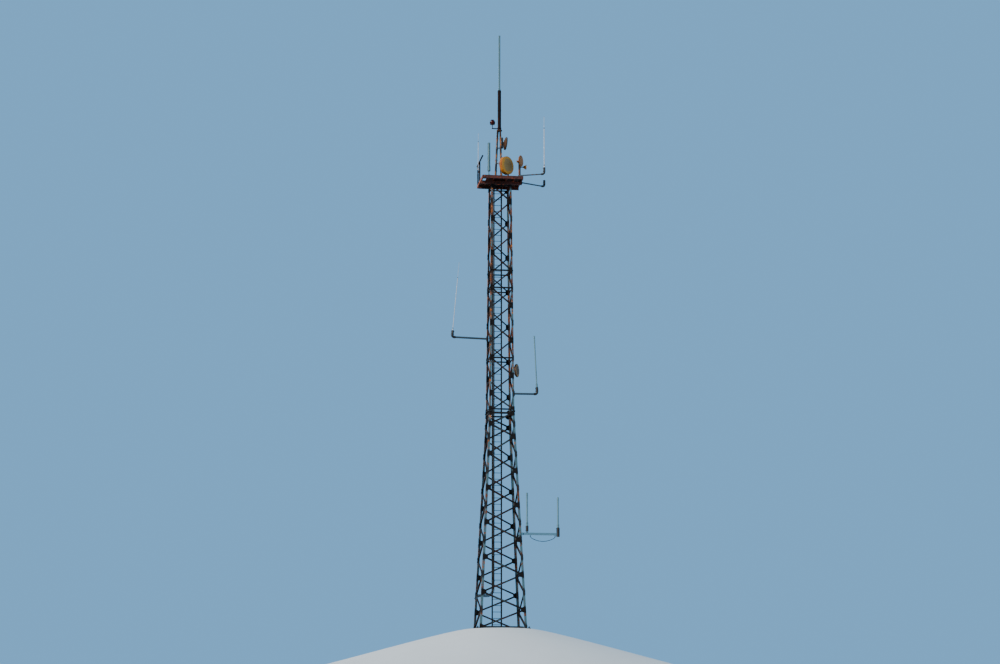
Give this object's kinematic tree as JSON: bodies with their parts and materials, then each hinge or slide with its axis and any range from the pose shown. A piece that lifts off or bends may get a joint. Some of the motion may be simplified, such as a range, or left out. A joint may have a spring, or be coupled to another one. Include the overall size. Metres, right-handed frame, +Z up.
{
  "type": "square lattice radio mast",
  "caption": "Free-standing square lattice mast of angle steel with a work platform, pole, rod antenna, dishes, whip antennas on side arms, ladder and feeder cables.",
  "frame": {"origin": "on the tower's axis, at the underside of the base frame", "axes": "+Z up, -Y the front side, +X the side of the long lower arm"},
  "size_m": [5.0381, 2.702, 29.1669],
  "materials": {
    "rusted_steel": "rusty steel with ochre rust on the edges and traces of galvanising",
    "galvanised_steel": "dull galvanised steel",
    "oxide_steel": "worn red oxide paint",
    "ochre_paint": "weathered ochre paint",
    "dark_pole": "almost black brown paint",
    "white_rod": "weathered white fibreglass",
    "grey_rod": "grey-green fibreglass",
    "cable_jacket": "black cable jacket",
    "red_lens": "dark red lens"
  },
  "bodies": {
    "root": {"base_frame": "rusted_steel", "bottom_legs": "rusted_steel", "lower_legs": "rusted_steel", "upper_legs": "rusted_steel", "top_legs": "rusted_steel", "lower_splice": "rusted_steel", "knuckle_joint": "rusted_steel", "upper_splice": "rusted_steel", "lower_front_bracing": "rusted_steel", "lower_right_bracing": "rusted_steel", "lower_back_bracing": "rusted_steel", "lower_left_bracing": "rusted_steel", "upper_front_bracing": "rusted_steel", "upper_right_bracing": "rusted_steel", "upper_back_bracing": "rusted_steel", "upper_left_bracing": "rusted_steel", "ladder": "galvanised_steel", "ladder_stays": "galvanised_steel", "feeder_cables": "cable_jacket", "cable_clamps": "galvanised_steel", "bridge_bracket": "galvanised_steel", "deck_bearers": "oxide_steel", "deck_frame": "oxide_steel", "deck_plates": "oxide_steel", "guard_rail": "dark_pole", "pole_stand": "rusted_steel", "main_pole": "dark_pole", "top_antenna": "grey_rod", "lamp_bracket": "dark_pole", "obstruction_lamp": "red_lens", "upper_dish": "ochre_paint", "upper_mount": "rusted_steel", "large_dish": "ochre_paint", "dish_mount": "galvanised_steel", "right_post": "rusted_steel", "post_dish": "ochre_paint", "tube_antenna": "grey_rod", "rail_whip": "white_rod", "deck_arms": "galvanised_steel", "deck_whip": "white_rod", "mid_left_arm": "galvanised_steel", "mid_left_whip": "white_rod", "mid_right_arm": "galvanised_steel", "mid_right_whip": "grey_rod", "mid_dish": "ochre_paint", "lower_arm": "galvanised_steel", "lower_antennas": "grey_rod", "antenna_boots": "dark_pole", "jumper_cable": "cable_jacket"}
  },
  "joints": []
}
